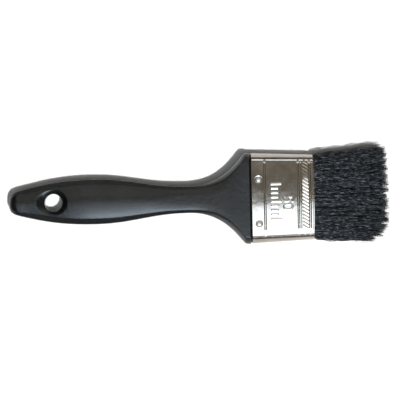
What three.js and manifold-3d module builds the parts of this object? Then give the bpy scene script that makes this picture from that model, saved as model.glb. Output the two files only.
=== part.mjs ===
// Flat paint brush, 50 mm wide, built as it is made: a moulded plastic handle with a tang,
// a folded tinplate ferrule nailed to the tang, and bristles set in resin on both sides of a plug.
// Lengths are in millimetres. +X runs along the brush to the bristle tips, +Y across its width,
// +Z up from the table it lies on. The origin is under the middle of the whole brush.
import * as THREE from 'three';
import { mergeVertices, toCreasedNormals } from 'three/addons/utils/BufferGeometryUtils.js';
import Module from 'manifold-3d';

const wasm = await Module();
wasm.setup();

// Overall sizes. Every shape below is drawn with X = 0 at the ferrule's handle end
// and Z = 0 in the middle of the thickness, and is moved to the table at the very end.
const HANDLE_LENGTH = 145.2;
const FERRULE_LENGTH = 36.7;
const BRISTLES_OUT = 44;
const JOINT_GAP = 0.3;

// Ferrule: flat faces that end in creases, and bulged narrow sides between them.
const SHEET = 0.4;
const FERRULE_HALF_THICKNESS = 8.3;
const FERRULE_BACK_HALF_WIDTH = 27;
const FERRULE_MOUTH_HALF_WIDTH = 25.4;
const CREASE_BACK = 23.5;
const CREASE_MOUTH = 22.9;
const BEAD_HEIGHT = 0.3;
const BEAD_WIDTH = 1.5;
const BEAD_END = 1;
const BEADS = [7.8, 27.6, 34.3];
const FINE_LINE = 29.2;

// Rope band: short slanted bars pressed across both flat faces.
const ROPE_MIDDLE = 31.7;
const ROPE_BAR = { length: 3.4, width: 0.8, height: 0.5 };
const ROPE_PITCH = 2.1;
const ROPE_SLANT = -0.58;
const ROPE_BARS = 20;

// Handle.
const SHOULDER_HALF_WIDTH = 27.2;
const SHOULDER_HALF_THICKNESS = 8.5;
const NECK_AT = 37.1;
const NECK_HALF_WIDTH = 7.8;
const NECK_HALF_THICKNESS = 6.7;
const BELLY_AT = 94.6;
const BELLY_HALF_WIDTH = 13.2;
const BELLY_HALF_THICKNESS = 8.3;
const NOSE_AT = 139.5;
const NOSE_HALF_WIDTH = 7;
const NOSE_HALF_THICKNESS = 4.9;
const EDGE_STRIP = 3.5;
const TANG_LENGTH = 12;
const TANG_INSET = SHEET + JOINT_GAP;

// Hanging hole: a straight bore between two wide countersinks.
const HOLE = { at: 118.4, radius: 5.25, landHalf: 2.7, flare: 1.35, reach: 9 };

// Nails, two through each face. Those below are the same pair with the brush turned over.
const NAIL_AT = 4.1;
const NAIL_SIDES = [11.1, -14.9];
const NAIL = { headRadius: 1.85, headHeight: 0.5, shankRadius: 0.75, tipDepth: 7.2, taper: 1.4 };
const DIMPLE = { depth: 0.55, floorRadius: 2.1, rimRadius: 2.6 };

// Knot: resin block, plug, and two layers of bristles.
const RESIN_START = 12.6;
const RESIN_END = 21;
const POCKET_START = 15;
const POCKET = { halfWidth: 24.3, inner: 1.9, outer: 6.8 };
const PLUG = { start: 21.3, end: 33, halfThickness: 1.5, halfWidth: 22 };
const HEEL_END = FERRULE_LENGTH + 8;
const HEEL_HALF_WIDTH = 26;

// A layer of bristles, by distance from the middle of the thickness. It is squeezed in its
// pocket and at the plug, and opens a little past them.
const ROOT = { halfWidth: POCKET.halfWidth - JOINT_GAP, inner: 2.2, outer: 6.5 };
const PACKED = { halfWidth: 24.3, inner: PLUG.halfThickness + JOINT_GAP, outer: 7.3 };
const MOUTH_INNER = 0.6;
const MOUTH_OUTER = 7.4;
const LAYER_INNER = JOINT_GAP / 2;
const FREE_OUTER = 7.2;
const TIP_HALF_WIDTH = 28.6;
const TIP_OUTER = 5.6;
const FRONT_LOCKS = 7;
const BACK_LOCKS = 6;

const { lerp, smoothstep } = THREE.MathUtils;

// ---------- shape tools ----------

// A closed body through a row of loops with equal point counts. Each loop runs anticlockwise
// when seen from the far end of the row. The two end points close it.
function loft(loops, startPoint, endPoint) {
  const count = loops[0].length;
  const places = [...loops.flat(), startPoint, endPoint].flatMap((p) => [p.x, p.y, p.z]);
  const start = loops.length * count;
  const end = start + 1;
  const last = (loops.length - 1) * count;
  const faces = [];
  for (let j = 0; j < count; j++) {
    const next = (j + 1) % count;
    faces.push(start, next, j);
    faces.push(end, last + j, last + next);
    for (let base = 0; base < last; base += count) {
      faces.push(base + j, base + next, base + count + j);
      faces.push(base + next, base + count + next, base + count + j);
    }
  }
  const geometry = new THREE.BufferGeometry();
  geometry.setAttribute('position', new THREE.Float32BufferAttribute(places, 3));
  geometry.setIndex(faces);
  return geometry;
}

function middleOf(loop) {
  const sum = new THREE.Vector3();
  loop.forEach((point) => sum.add(point));
  return sum.divideScalar(loop.length);
}

function loftWithFlatEnds(loops) {
  return loft(loops, middleOf(loops[0]), middleOf(loops[loops.length - 1]));
}

// A round body on the Z axis through rows of [height, radius].
function turned(rows, segments) {
  const loops = rows.map(([height, radius]) => {
    const loop = [];
    for (let i = 0; i < segments; i++) {
      const angle = (2 * Math.PI * i) / segments;
      loop.push(new THREE.Vector3(radius * Math.cos(angle), radius * Math.sin(angle), height));
    }
    return loop;
  });
  return loftWithFlatEnds(loops);
}

function solidOf(geometry) {
  const bare = new THREE.BufferGeometry();
  bare.setAttribute('position', geometry.getAttribute('position'));
  bare.setIndex(geometry.getIndex());
  const merged = mergeVertices(bare, 1e-4);
  const mesh = new wasm.Mesh({
    numProp: 3,
    vertProperties: Float32Array.from(merged.getAttribute('position').array),
    triVerts: Uint32Array.from(merged.getIndex().array),
  });
  return new wasm.Manifold(mesh);
}

function geometryOf(solid) {
  const mesh = solid.getMesh();
  const geometry = new THREE.BufferGeometry();
  geometry.setAttribute('position', new THREE.BufferAttribute(mesh.vertProperties, 3));
  geometry.setIndex(new THREE.BufferAttribute(mesh.triVerts, 1));
  return geometry;
}

function moved(geometry, x, y, z) {
  return geometry.clone().translate(x, y, z);
}

// The same shape for the other face: turned half a turn about the brush's length.
function turnedOver(geometry) {
  return geometry.clone().rotateX(Math.PI);
}

// ---------- the section that handle and ferrule share ----------

// One quarter, from the top middle to the side. With crispness 1 it is a flat face that ends in
// a crease, then an arc that bulges to the side. With crispness 0 it is a plain ellipse.
function sectionQuarter(halfWidth, halfThickness, crease, crispness, flatPlaces, arcSteps) {
  const ellipseHeight = (y) => halfThickness * Math.sqrt(Math.max(0, 1 - (y / halfWidth) ** 2));
  const bulge = halfWidth - crease;
  const arcRadius = (halfThickness ** 2 + bulge ** 2) / (2 * bulge);
  const arcAngle = Math.asin(halfThickness / arcRadius);
  const creaseAngle = Math.acos(crease / halfWidth);
  const quarter = flatPlaces.map((y) => [y, lerp(ellipseHeight(y), halfThickness, crispness)]);
  for (let i = 1; i <= arcSteps; i++) {
    const onArc = arcAngle * (1 - i / arcSteps);
    const onEllipse = creaseAngle * (1 - i / arcSteps);
    const arcY = halfWidth - arcRadius + arcRadius * Math.cos(onArc);
    const arcZ = arcRadius * Math.sin(onArc);
    const y = lerp(halfWidth * Math.cos(onEllipse), arcY, crispness);
    const z = lerp(halfThickness * Math.sin(onEllipse), arcZ, crispness);
    quarter.push([y, z]);
  }
  return quarter;
}

// A whole section at x from its quarter, mirrored left to right and top to bottom.
function sectionLoop(x, quarter) {
  const fromMiddle = quarter[0][0] === 0 ? 1 : 0;
  const withoutSide = quarter.slice(0, -1);
  const right = quarter.map(([y, z]) => [y, z]);
  const rightBelow = [...withoutSide].reverse().map(([y, z]) => [y, -z]);
  const leftBelow = quarter.slice(fromMiddle).map(([y, z]) => [-y, -z]);
  const left = withoutSide.slice(fromMiddle).reverse().map(([y, z]) => [-y, z]);
  const loop = [...right, ...rightBelow, ...leftBelow, ...left];
  return loop.reverse().map(([y, z]) => new THREE.Vector3(x, y, z));
}

// ---------- handle ----------

// Seen from above, the edge runs from the nose over the belly and neck to the shoulder.
function handleOutline() {
  const point = (at, halfWidth) => new THREE.Vector2(-at, halfWidth);
  const curve = (a, b, c, d, steps) => new THREE.CubicBezierCurve(a, b, c, d).getPoints(steps);
  const nose = point(HANDLE_LENGTH, 0);
  const noseEnd = point(NOSE_AT, NOSE_HALF_WIDTH);
  const belly = point(BELLY_AT, BELLY_HALF_WIDTH);
  const neck = point(NECK_AT, NECK_HALF_WIDTH);
  const throat = point(4.2, 26.6);
  return [
    ...curve(nose, point(HANDLE_LENGTH, 4.2), point(143, 6.1), noseEnd, 6).slice(1, -1),
    ...curve(noseEnd, point(126, 10.2), point(114.6, BELLY_HALF_WIDTH), belly, 9).slice(0, -1),
    ...curve(belly, point(70.6, BELLY_HALF_WIDTH), point(61.1, NECK_HALF_WIDTH), neck, 10).slice(0, -1),
    ...curve(neck, point(23.1, NECK_HALF_WIDTH), point(13.2, 14.9), throat, 12),
    point(3, SHOULDER_HALF_WIDTH - 0.1),
    point(JOINT_GAP, SHOULDER_HALF_WIDTH),
  ];
}

// Half the handle's thickness at a distance from the ferrule.
function handleHalfThickness(at) {
  const atNeck = smoothstep(at, 2, NECK_AT);
  const atBelly = smoothstep(at, NECK_AT + 4, BELLY_AT);
  const atNose = smoothstep(at, BELLY_AT, NOSE_AT + 4);
  let half = lerp(SHOULDER_HALF_THICKNESS, NECK_HALF_THICKNESS, atNeck);
  half = lerp(half, BELLY_HALF_THICKNESS, atBelly);
  half = lerp(half, NOSE_HALF_THICKNESS, atNose);
  const intoNose = Math.max(0, (at - NOSE_AT) / (HANDLE_LENGTH - NOSE_AT));
  return half * Math.sqrt(Math.max(0, 1 - intoNose ** 2));
}

function handleLoop({ x, y: halfWidth }) {
  const at = -x;
  const crispness = 1 - smoothstep(at, 6, NECK_AT + 6);
  const crease = Math.max(halfWidth * 0.5, halfWidth - EDGE_STRIP);
  const flatPlaces = [0, crease * 0.5, crease];
  return sectionLoop(
    x,
    sectionQuarter(halfWidth, handleHalfThickness(at), crease, crispness, flatPlaces, 5),
  );
}

function tangLoop(x) {
  const ferrule = ferruleSizes(x);
  const halfWidth = ferrule.halfWidth - TANG_INSET;
  const halfThickness = FERRULE_HALF_THICKNESS - TANG_INSET;
  const crease = ferrule.crease - TANG_INSET;
  const flatPlaces = [0, crease * 0.5, crease];
  return sectionLoop(x, sectionQuarter(halfWidth, halfThickness, crease, 1, flatPlaces, 5));
}

function hangingHole() {
  const rimRadius = HOLE.radius + (HOLE.reach - HOLE.landHalf) * HOLE.flare;
  const rows = [
    [-HOLE.reach, rimRadius],
    [-HOLE.landHalf, HOLE.radius],
    [HOLE.landHalf, HOLE.radius],
    [HOLE.reach, rimRadius],
  ];
  return moved(turned(rows, 40), -HOLE.at, 0, 0);
}

// Room in the tang for one nail and for the dimple that its head pulls into the sheet.
function nailSocket() {
  const dimpleFloor = FERRULE_HALF_THICKNESS - DIMPLE.depth - TANG_INSET;
  const shankRoom = NAIL.shankRadius + JOINT_GAP;
  const deepest = FERRULE_HALF_THICKNESS - NAIL.tipDepth - JOINT_GAP;
  const rows = [
    [deepest, shankRoom],
    [dimpleFloor, shankRoom],
    [dimpleFloor, DIMPLE.floorRadius + TANG_INSET],
    [FERRULE_HALF_THICKNESS, DIMPLE.rimRadius + TANG_INSET],
  ];
  return turned(rows, 20);
}

function handleGeometry() {
  const nosePoint = new THREE.Vector3(-HANDLE_LENGTH, 0, 0);
  const loops = handleOutline().map(handleLoop);
  loops.push(tangLoop(-JOINT_GAP), tangLoop(TANG_LENGTH));
  let body = solidOf(loft(loops, nosePoint, new THREE.Vector3(TANG_LENGTH, 0, 0)));
  body = body.subtract(solidOf(hangingHole()));
  for (const socket of onBothFaces(nailSocket())) {
    body = body.subtract(solidOf(socket));
  }
  return geometryOf(body);
}

// ---------- ferrule ----------

function ferruleSizes(x) {
  const along = x / FERRULE_LENGTH;
  return {
    halfWidth: lerp(FERRULE_BACK_HALF_WIDTH, FERRULE_MOUTH_HALF_WIDTH, along),
    crease: lerp(CREASE_BACK, CREASE_MOUTH, along),
  };
}

function beadRise(x) {
  const rise = (at, width, height) => {
    const off = Math.abs(x - at) / (width / 2);
    return off < 1 ? (height * (1 + Math.cos(Math.PI * off))) / 2 : 0;
  };
  const beads = BEADS.map((at) => rise(at, BEAD_WIDTH, BEAD_HEIGHT));
  return Math.max(rise(FINE_LINE, BEAD_WIDTH / 2, BEAD_HEIGHT / 2), ...beads);
}

function ferruleStations() {
  const across = (at, width) => [-0.5, -0.25, 0, 0.25, 0.5].map((share) => at + share * width);
  const rows = BEADS.flatMap((at) => across(at, BEAD_WIDTH));
  return [...rows, ...across(FINE_LINE, BEAD_WIDTH / 2)].sort((a, b) => a - b);
}

// The sheet's outer face, or its inner face when it is set in by the sheet's thickness.
function sheetLoop(x, setIn) {
  const { halfWidth, crease } = ferruleSizes(x);
  const creaseIn = crease - setIn * 0.7;
  const half = FERRULE_HALF_THICKNESS - setIn;
  const quarter = sectionQuarter(
    halfWidth - setIn, half, creaseIn, 1, [creaseIn - BEAD_END, creaseIn], 4,
  );
  quarter[0][1] = half + beadRise(x);
  return sectionLoop(x, quarter);
}

function ropeBars() {
  const { length, width, height } = ROPE_BAR;
  const bar = new THREE.BoxGeometry(length, width, height).rotateZ(ROPE_SLANT);
  const bars = [];
  for (let i = 0; i < ROPE_BARS; i++) {
    const y = (i - (ROPE_BARS - 1) / 2) * ROPE_PITCH;
    const above = moved(bar, ROPE_MIDDLE, y, FERRULE_HALF_THICKNESS);
    bars.push(above, turnedOver(above));
  }
  return bars;
}

// The dimple under a nail head, and the hole for its shank.
function dimpleCut(setIn) {
  const floor = FERRULE_HALF_THICKNESS - DIMPLE.depth - setIn;
  const rows = [
    [floor, DIMPLE.floorRadius + setIn],
    [FERRULE_HALF_THICKNESS + 0.2, DIMPLE.rimRadius + setIn],
  ];
  return turned(rows, 20);
}

function shankCut() {
  const radius = NAIL.shankRadius + JOINT_GAP;
  return turned([[FERRULE_HALF_THICKNESS - 2, radius], [FERRULE_HALF_THICKNESS + 1, radius]], 20);
}

function ferruleGeometry() {
  const stations = ferruleStations();
  const outerStations = [0, ...stations, FERRULE_LENGTH];
  const innerStations = [-1, ...stations, FERRULE_LENGTH + 1];
  let outside = solidOf(loftWithFlatEnds(outerStations.map((x) => sheetLoop(x, 0))));
  let inside = solidOf(loftWithFlatEnds(innerStations.map((x) => sheetLoop(x, SHEET))));
  for (const bar of ropeBars()) {
    outside = outside.add(solidOf(bar));
  }
  for (const dimple of onBothFaces(dimpleCut(0))) {
    outside = outside.subtract(solidOf(dimple));
  }
  for (const dimple of onBothFaces(dimpleCut(SHEET))) {
    inside = inside.subtract(solidOf(dimple));
  }
  let sleeve = outside.subtract(inside);
  for (const hole of onBothFaces(shankCut())) {
    sleeve = sleeve.subtract(solidOf(hole));
  }
  return geometryOf(sleeve);
}

// ---------- nails ----------

// Copies of a shape at both nails of the top face, then at both nails of the underside.
function onBothFaces(geometry) {
  const above = NAIL_SIDES.map((side) => moved(geometry, NAIL_AT, side, 0));
  return [...above, ...above.map(turnedOver)];
}

function nailGeometry() {
  const seat = FERRULE_HALF_THICKNESS - DIMPLE.depth + 0.1;
  const tip = FERRULE_HALF_THICKNESS - NAIL.tipDepth;
  const { headRadius, headHeight, shankRadius, taper } = NAIL;
  const rows = [
    [tip, 0.12],
    [tip + taper, shankRadius],
    [seat, shankRadius],
    [seat, headRadius],
    [seat + headHeight * 0.4, headRadius],
    [seat + headHeight * 0.8, headRadius * 0.75],
    [seat + headHeight, headRadius * 0.35],
  ];
  return turned(rows, 18);
}

// ---------- knot ----------

// One half of the pack: flat towards the plug, with sides that curve in like the ferrule's.
function layerLoop(x, { halfWidth, inner, outer }) {
  const right = [
    [halfWidth, inner],
    [halfWidth, outer * 0.45],
    [halfWidth - 0.8, outer * 0.75],
    [halfWidth - 2.2, outer],
  ];
  const left = [...right].reverse().map(([y, z]) => [-y, z]);
  return [...right, ...left].map(([y, z]) => new THREE.Vector3(x, y, z));
}

function resinGeometry() {
  const outer = FERRULE_HALF_THICKNESS - TANG_INSET;
  const blockLoop = (x) => {
    const { halfWidth, crease } = ferruleSizes(x);
    const flatPlaces = [0, crease - TANG_INSET];
    const quarter = sectionQuarter(
      halfWidth - TANG_INSET, outer, crease - TANG_INSET, 1, flatPlaces, 4,
    );
    return sectionLoop(x, quarter);
  };
  let block = solidOf(loftWithFlatEnds([blockLoop(RESIN_START), blockLoop(RESIN_END)]));
  const pocket = loftWithFlatEnds([
    layerLoop(POCKET_START, POCKET),
    layerLoop(RESIN_END + 1, POCKET),
  ]);
  block = block.subtract(solidOf(pocket));
  block = block.subtract(solidOf(turnedOver(pocket)));
  return geometryOf(block);
}

function plugGeometry() {
  const { start, end, halfThickness, halfWidth } = PLUG;
  return moved(
    new THREE.BoxGeometry(end - start, 2 * halfWidth, 2 * halfThickness),
    (start + end) / 2, 0, 0,
  );
}

// The part of a bristle layer that the resin, the plug and the ferrule's mouth hold.
function heelGeometry() {
  return loftWithFlatEnds([
    layerLoop(POCKET_START + JOINT_GAP, ROOT),
    layerLoop(RESIN_END + JOINT_GAP, ROOT),
    layerLoop(RESIN_END + 3, PACKED),
    layerLoop(PLUG.end, { ...PACKED, outer: MOUTH_OUTER }),
    layerLoop(FERRULE_LENGTH, { ...PACKED, inner: MOUTH_INNER, outer: MOUTH_OUTER }),
    layerLoop(HEEL_END, { halfWidth: HEEL_HALF_WIDTH, inner: LAYER_INNER, outer: FREE_OUTER }),
  ]);
}

// One lock of free bristles, number i of count side by side in a layer. Its end is a blunt,
// uneven point, as the flagged tips of the bristles cling together.
function lockGeometry(i, count) {
  const start = HEEL_END + JOINT_GAP;
  const reach = BRISTLES_OUT - 1.1 + 1.1 * Math.cos(i * 2.4);
  const tip = FERRULE_LENGTH + reach;
  const spread = (x) => {
    const out = (x - start) / (FERRULE_LENGTH + BRISTLES_OUT - start);
    return lerp(HEEL_HALF_WIDTH, TIP_HALF_WIDTH, out);
  };
  const loopAt = (x, fill, inner, outer) => {
    const pitch = (2 * spread(x)) / count;
    const middle = (i - (count - 1) / 2) * pitch;
    const half = (pitch / 2) * fill - JOINT_GAP / 2;
    const bevel = half * 0.15;
    return [
      [half, inner],
      [half, outer - bevel],
      [half - bevel, outer],
      [bevel - half, outer],
      [-half, outer - bevel],
      [-half, inner],
    ].map(([y, z]) => new THREE.Vector3(x, middle + y, z));
  };
  const outerAt = (x) => lerp(FREE_OUTER, TIP_OUTER, smoothstep(x, start, tip));
  const pointStart = tip - 1.5;
  return loftWithFlatEnds([
    loopAt(start, 1, LAYER_INNER, FREE_OUTER),
    ...[lerp(start, tip, 0.5), tip - 5].map((x) => loopAt(x, 1, LAYER_INNER, outerAt(x))),
    loopAt(pointStart, 0.92, LAYER_INNER, outerAt(pointStart)),
    loopAt(tip, 0.7, LAYER_INNER + 0.5, TIP_OUTER - 1.2),
  ]);
}

// ---------- materials ----------

function blackPlastic() {
  return new THREE.MeshStandardMaterial({ color: 0x1c1f1f, roughness: 0.42, metalness: 0 });
}

function tinplate() {
  return new THREE.MeshStandardMaterial({ color: 0xb9b3a8, roughness: 0.28, metalness: 1 });
}

function nailSteel() {
  return new THREE.MeshStandardMaterial({ color: 0x9a958c, roughness: 0.35, metalness: 1 });
}

function amberResin() {
  return new THREE.MeshStandardMaterial({ color: 0x8a6a3a, roughness: 0.3, metalness: 0 });
}

function plugWood() {
  return new THREE.MeshStandardMaterial({ color: 0xc2a071, roughness: 0.8, metalness: 0 });
}

function blackBristle() {
  return new THREE.MeshStandardMaterial({ color: 0x17191c, roughness: 0.6, metalness: 0 });
}

// ---------- assembly ----------

const brush = new THREE.Group();
brush.name = 'flat_paint_brush';

const toTheMiddle = (HANDLE_LENGTH - FERRULE_LENGTH - BRISTLES_OUT) / 2;
const toTheTable = FERRULE_HALF_THICKNESS + BEAD_HEIGHT;

function addPiece(name, geometry, material) {
  const placed = moved(geometry, toTheMiddle, 0, toTheTable);
  const piece = new THREE.Mesh(toCreasedNormals(placed, 0.35), material);
  piece.name = name;
  brush.add(piece);
}

addPiece('handle', handleGeometry(), blackPlastic());
addPiece('ferrule', ferruleGeometry(), tinplate());

const nailNames = ['nail_top_right', 'nail_top_left', 'nail_under_right', 'nail_under_left'];
onBothFaces(nailGeometry()).forEach((nail, i) => addPiece(nailNames[i], nail, nailSteel()));

addPiece('setting_resin', resinGeometry(), amberResin());
addPiece('spacer_plug', plugGeometry(), plugWood());
addPiece('bristle_heel_front', heelGeometry(), blackBristle());
addPiece('bristle_heel_back', turnedOver(heelGeometry()), blackBristle());

for (let i = 0; i < FRONT_LOCKS; i++) {
  addPiece(`bristle_lock_front_${i + 1}`, lockGeometry(i, FRONT_LOCKS), blackBristle());
}
for (let i = 0; i < BACK_LOCKS; i++) {
  addPiece(`bristle_lock_back_${i + 1}`, turnedOver(lockGeometry(i, BACK_LOCKS)), blackBristle());
}

export default brush;
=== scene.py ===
"""A flat paint brush, 50 mm wide, lying on a white table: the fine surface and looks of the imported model.

Shapes are worked out in millimetres in the brush's own coordinates: x from the ferrule's handle end
towards the bristle tips, y across the brush, z from the middle of its thickness. place() moves
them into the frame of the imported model, in metres.
"""

import math

import bpy
import numpy as np
from mathutils import Euler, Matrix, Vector


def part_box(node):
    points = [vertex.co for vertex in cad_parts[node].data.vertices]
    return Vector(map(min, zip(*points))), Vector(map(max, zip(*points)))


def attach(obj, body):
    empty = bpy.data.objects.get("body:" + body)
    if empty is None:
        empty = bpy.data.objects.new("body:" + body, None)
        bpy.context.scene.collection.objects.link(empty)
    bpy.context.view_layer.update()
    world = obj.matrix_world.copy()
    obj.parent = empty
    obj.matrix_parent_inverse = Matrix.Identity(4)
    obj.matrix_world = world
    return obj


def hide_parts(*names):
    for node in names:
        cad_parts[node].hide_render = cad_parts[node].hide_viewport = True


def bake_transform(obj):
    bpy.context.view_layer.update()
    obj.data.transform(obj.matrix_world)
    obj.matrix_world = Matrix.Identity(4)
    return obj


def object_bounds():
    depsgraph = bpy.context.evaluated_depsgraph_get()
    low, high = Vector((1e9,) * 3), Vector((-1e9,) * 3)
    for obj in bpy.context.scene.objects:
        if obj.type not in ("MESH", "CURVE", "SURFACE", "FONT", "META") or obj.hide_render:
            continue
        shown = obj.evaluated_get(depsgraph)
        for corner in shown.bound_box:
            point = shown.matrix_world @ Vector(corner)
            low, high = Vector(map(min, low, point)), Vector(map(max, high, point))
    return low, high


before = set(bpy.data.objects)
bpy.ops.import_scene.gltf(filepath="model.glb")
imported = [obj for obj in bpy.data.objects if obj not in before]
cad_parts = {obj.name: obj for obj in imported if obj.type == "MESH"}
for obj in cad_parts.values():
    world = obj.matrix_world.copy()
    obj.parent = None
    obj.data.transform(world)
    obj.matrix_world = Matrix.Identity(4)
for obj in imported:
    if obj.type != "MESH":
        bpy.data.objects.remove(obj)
CAD_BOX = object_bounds()

MM = 0.001
HANDLE_LOW, HANDLE_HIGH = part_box("handle")
FERRULE_LOW, FERRULE_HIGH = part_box("ferrule")
BRUSH_LOW, BRUSH_HIGH = CAD_BOX
ROOT_BODY = "handle_and_ferrule"

# Sizes of the whole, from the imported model.
ORIGIN = np.array([FERRULE_LOW.x, 0, (FERRULE_LOW.z + FERRULE_HIGH.z) / 2])
HANDLE_LENGTH = (FERRULE_LOW.x - HANDLE_LOW.x) / MM
SHOULDER_HALF_WIDTH = HANDLE_HIGH.y / MM
SHOULDER_HALF_THICKNESS = (HANDLE_HIGH.z - HANDLE_LOW.z) / MM / 2
TANG_LENGTH = (HANDLE_HIGH.x - FERRULE_LOW.x) / MM
FERRULE_LENGTH = (FERRULE_HIGH.x - FERRULE_LOW.x) / MM
FERRULE_BACK_HALF_WIDTH = FERRULE_HIGH.y / MM
BRISTLES_OUT = (BRUSH_HIGH.x - FERRULE_HIGH.x) / MM

# Handle. "At" is a distance from the ferrule towards the nose.
CORNER_AT, CORNER_HALF_WIDTH = 5.0, 26.0
NECK_AT, NECK_HALF_WIDTH, NECK_HALF_THICKNESS = 37.1, 7.9, 6.7
BELLY_AT, BELLY_HALF_WIDTH, BELLY_HALF_THICKNESS = 94.0, 13.4, 8.3
NOSE_AT, NOSE_HALF_WIDTH, NOSE_HALF_THICKNESS = 139.5, 7.3, 4.9
SHOULDER_STRIP, NECK_STRIP, BELLY_STRIP = 4.0, 1.9, 3.4
STRIP_SLOPE = 0.8
SHOULDER_BULGE = 2.6
SHOULDER_CROWN, NECK_CROWN, BELLY_CROWN = 0.02, 0.45, 0.5
JOINT_GAP = 0.3
SHOULDER_SET_BACK, SHOULDER_ROUNDING = 0.8, 0.8
HOLE_AT, HOLE_RADIUS, HOLE_LAND = 118.4, 5.25, 2.7
HOLE_WINDOW = 12
RECESS_TO_NOSE, RECESS_TO_FERRULE, RECESS_ACROSS = 10.2, 8.8, 7.7

# Ferrule.
SHEET = 0.4
BEAD_HEIGHT = 0.3
FERRULE_HALF_THICKNESS = (FERRULE_HIGH.z - FERRULE_LOW.z) / MM / 2 - BEAD_HEIGHT
FERRULE_MOUTH_HALF_WIDTH = 25.4
CREASE_BACK, CREASE_MOUTH = 23.2, 22.3
CHAMFER, CHAMFER_SLOPE = 1.3, 0.84
TOP_CROWN, UNDER_CROWN = 0.55, 0.25
LIP_HEIGHT, LIP_WIDTH = 0.1, 0.75
BEADS = (7.8, 27.6, 34.3)
FINE_LINE = 29.2
HEM_LINE = 36.0
ROPE_START, ROPE_END, ROPE_PITCH, ROPE_SLOPE = 30.1, 33.4, 2.1, 0.66
NAIL_AT = 4.1
NAIL_SIDES = (11.1, -14.9)
NAIL_HEAD_RADIUS = 1.55
NAIL_LENGTH = 7.2

# Pressed mark on the ferrule's top: a row of ticks, and a number beside it.
TICKS, TICK_PITCH, FIRST_TICK = 9, 2.6, 8.2
TICKS_AT, TICK_LENGTH, LONG_TICK = 11.8, 3.4, 5.4
FIGURES_AT, FIGURE_HEIGHT = 18.8, 5.2
MARK_HEIGHT = 0.26


def place(points):
    """Points of the brush's own coordinates as points of the frame, in metres."""
    return np.asarray(points, float) * MM + ORIGIN


def smooth(value, low, high):
    """0 below low, 1 above high, and an even S between."""
    t = np.clip((np.asarray(value, float) - low) / (high - low), 0, 1)
    return t * t * (3 - 2 * t)


def mix(a, b, share):
    return a + (b - a) * share


def new_mesh(name, points, faces, material, rounded=True):
    """A mesh object in the frame, from points of the brush's own coordinates that faces use."""
    used = sorted({int(i) for face in faces for i in face})
    number = {old: new for new, old in enumerate(used)}
    faces = [tuple(number[int(i)] for i in face) for face in faces]
    mesh = bpy.data.meshes.new(name)
    mesh.from_pydata(place(np.asarray(points)[used]).tolist(), [], faces)
    mesh.validate()
    mesh.polygons.foreach_set("use_smooth", np.full(len(mesh.polygons), rounded))
    mesh.materials.append(material)
    obj = bpy.data.objects.new(name, mesh)
    bpy.context.scene.collection.objects.link(obj)
    return obj


# ---------- materials ----------


class Paint:
    """A material under construction: its shader, and short ways to add pattern nodes."""

    def __init__(self, name, **shader_values):
        self.material = bpy.data.materials.new(name)
        self.material.use_nodes = True
        self.nodes = self.material.node_tree.nodes
        self.links = self.material.node_tree.links
        self.shader = self.nodes["Principled BSDF"]
        for socket, value in shader_values.items():
            self.shader.inputs[socket.replace("_", " ")].default_value = value
        self.coordinates = self.nodes.new("ShaderNodeTexCoord").outputs["Object"]

    def link(self, source, node, socket):
        self.links.new(source, node.inputs[socket])

    def stretched(self, x, y, z):
        """The object's coordinates, multiplied along each axis."""
        mapping = self.nodes.new("ShaderNodeMapping")
        mapping.inputs["Scale"].default_value = (x, y, z)
        self.link(self.coordinates, mapping, "Vector")
        return mapping.outputs["Vector"]

    def noise(self, scale, detail=3, roughness=0.55, vector=None):
        node = self.nodes.new("ShaderNodeTexNoise")
        node.inputs["Scale"].default_value = scale
        node.inputs["Detail"].default_value = detail
        node.inputs["Roughness"].default_value = roughness
        self.link(vector or self.coordinates, node, "Vector")
        return node.outputs["Fac"]

    def attribute(self, name):
        node = self.nodes.new("ShaderNodeAttribute")
        node.attribute_name = name
        return node.outputs["Fac"]

    def between(self, factor, from_low, from_high, to_low, to_high):
        """A value remapped from one range to another and kept inside it."""
        node = self.nodes.new("ShaderNodeMapRange")
        for socket, value in (
            ("From Min", from_low),
            ("From Max", from_high),
            ("To Min", to_low),
            ("To Max", to_high),
        ):
            node.inputs[socket].default_value = value
        self.link(factor, node, "Value")
        return node.outputs["Result"]

    def ramp(self, factor, *stops):
        """A colour ramp through (place, (r, g, b)) stops."""
        node = self.nodes.new("ShaderNodeValToRGB")
        elements = node.color_ramp.elements
        while len(elements) < len(stops):
            elements.new(0.5)
        for element, (position, colour) in zip(elements, stops):
            element.position = position
            element.color = (*colour, 1)
        self.link(factor, node, "Fac")
        return node.outputs["Color"]

    def blend(self, factor, a, b):
        """Colour a where factor is 0, and colour b where it is 1."""
        node = self.nodes.new("ShaderNodeMix")
        node.data_type = "RGBA"
        self.link(factor, node, "Factor")
        sockets = [socket for socket in node.inputs if socket.type == "RGBA"]
        self.links.new(a, sockets[0])
        self.links.new(b, sockets[1])
        return next(socket for socket in node.outputs if socket.type == "RGBA")

    def add(self, a, b, weight):
        """a + weight * b"""
        node = self.nodes.new("ShaderNodeMath")
        node.operation = "MULTIPLY_ADD"
        self.link(b, node, 0)
        node.inputs[1].default_value = weight
        self.link(a, node, 2)
        return node.outputs["Value"]

    def bump(self, height, depth_mm, strength=1.0):
        node = self.nodes.new("ShaderNodeBump")
        node.inputs["Strength"].default_value = strength
        node.inputs["Distance"].default_value = depth_mm * MM
        self.link(height, node, "Height")
        self.link(node.outputs["Normal"], self.shader, "Normal")

    def colour(self, source):
        self.link(source, self.shader, "Base Color")

    def roughness(self, source):
        self.link(source, self.shader, "Roughness")


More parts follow.
